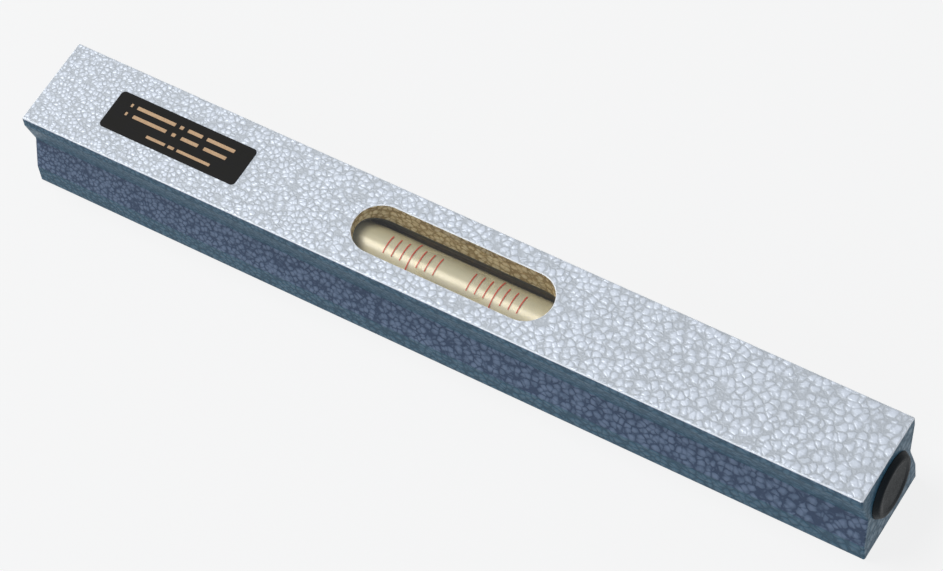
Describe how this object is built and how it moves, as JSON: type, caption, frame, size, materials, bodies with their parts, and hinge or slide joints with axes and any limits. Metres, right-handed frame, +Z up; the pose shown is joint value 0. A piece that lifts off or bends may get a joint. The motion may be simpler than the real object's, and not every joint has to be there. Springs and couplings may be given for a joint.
{
  "type": "precision machinist level",
  "caption": "Straight waisted cast bar level with a flat sole, a glazed slot over a graduated glass vial, and an eccentric zero adjuster behind a push-in end plug.",
  "frame": {"origin": "centre of the sole, on the plane it rests on", "axes": "+X along the bar towards the plugged end, +Y across it, +Z up"},
  "size_m": [0.2013, 0.022, 0.0231],
  "materials": {
    "enamel": "hammered silver-grey enamel over cast iron, smooth and dark below the top flange, bare ground sole",
    "acrylic": "clear acrylic, faintly yellowed",
    "label_foil": "thin black foil label, wording left out",
    "vial_glass": "clear drawn glass with a greenish tint",
    "fired_line": "red line fired on the glass",
    "spirit": "greenish yellow spirit",
    "air": "air bubble",
    "brass": "turned brass, plain",
    "plaster": "white setting cement",
    "steel": "turned steel",
    "spring_steel": "blued spring steel",
    "zinc_steel": "zinc-plated steel",
    "black_plastic": "black moulded plastic"
  },
  "bodies": {
    "housing": {"body": "enamel", "window_pane": "acrylic", "label_plate": "label_foil", "pivot_seat": "brass", "key_pin": "steel", "bearing_bush": "brass"},
    "vial_carrier": {"vial_holder": "brass", "pivot_plug": "steel", "adjuster_plug": "brass", "cement_left": "plaster", "cement_right": "plaster", "vial_glass": "vial_glass", "graduation": "fired_line", "spirit_fill": "spirit"},
    "air_bubble": {"bubble": "air"},
    "adjuster": {"eccentric_shaft": "steel", "disc_spring": "spring_steel"},
    "washer": {"spring_washer": "zinc_steel"},
    "nut": {"lock_nut": "zinc_steel"},
    "plug": {"end_plug": "black_plastic"}
  },
  "joints": [
    {"name": "adjuster_turn", "type": "hinge", "parent": "housing", "child": "adjuster", "pos_m": [0.0766, 0, 0.0132], "axis": [1, 0, 0], "range_deg": [-60, 60]},
    {"name": "vial_tilt", "type": "hinge", "parent": "housing", "child": "vial_carrier", "pos_m": [-0.0466, 0, 0.0132], "axis": [0, -1, 0], "range_deg": [-0.1538, 0.1538]},
    {"name": "bubble_travel", "type": "slide", "parent": "vial_carrier", "child": "air_bubble", "axis": [1, 0, 0], "range_m": [-0.021, 0.021], "stiffness_N_per_m": 0.04},
    {"name": "washer_slide", "type": "slide", "parent": "adjuster", "child": "washer", "axis": [1, 0, 0], "range_m": [0, 0.0008]},
    {"name": "lock_nut_turn", "type": "hinge", "parent": "washer", "child": "nut", "pos_m": [0.0848, 0, 0.0132], "axis": [1, 0, 0], "range_deg": [0, 360]},
    {"name": "end_plug_pull", "type": "slide", "parent": "housing", "child": "plug", "axis": [1, 0, 0], "range_m": [0, 0.006]}
  ],
  "couplings": [
    {"joint": "adjuster_turn", "follows": "vial_tilt", "ratio": 389.88},
    {"joint": "lock_nut_turn", "follows": "washer_slide", "rad_per_m": 7854}
  ]
}
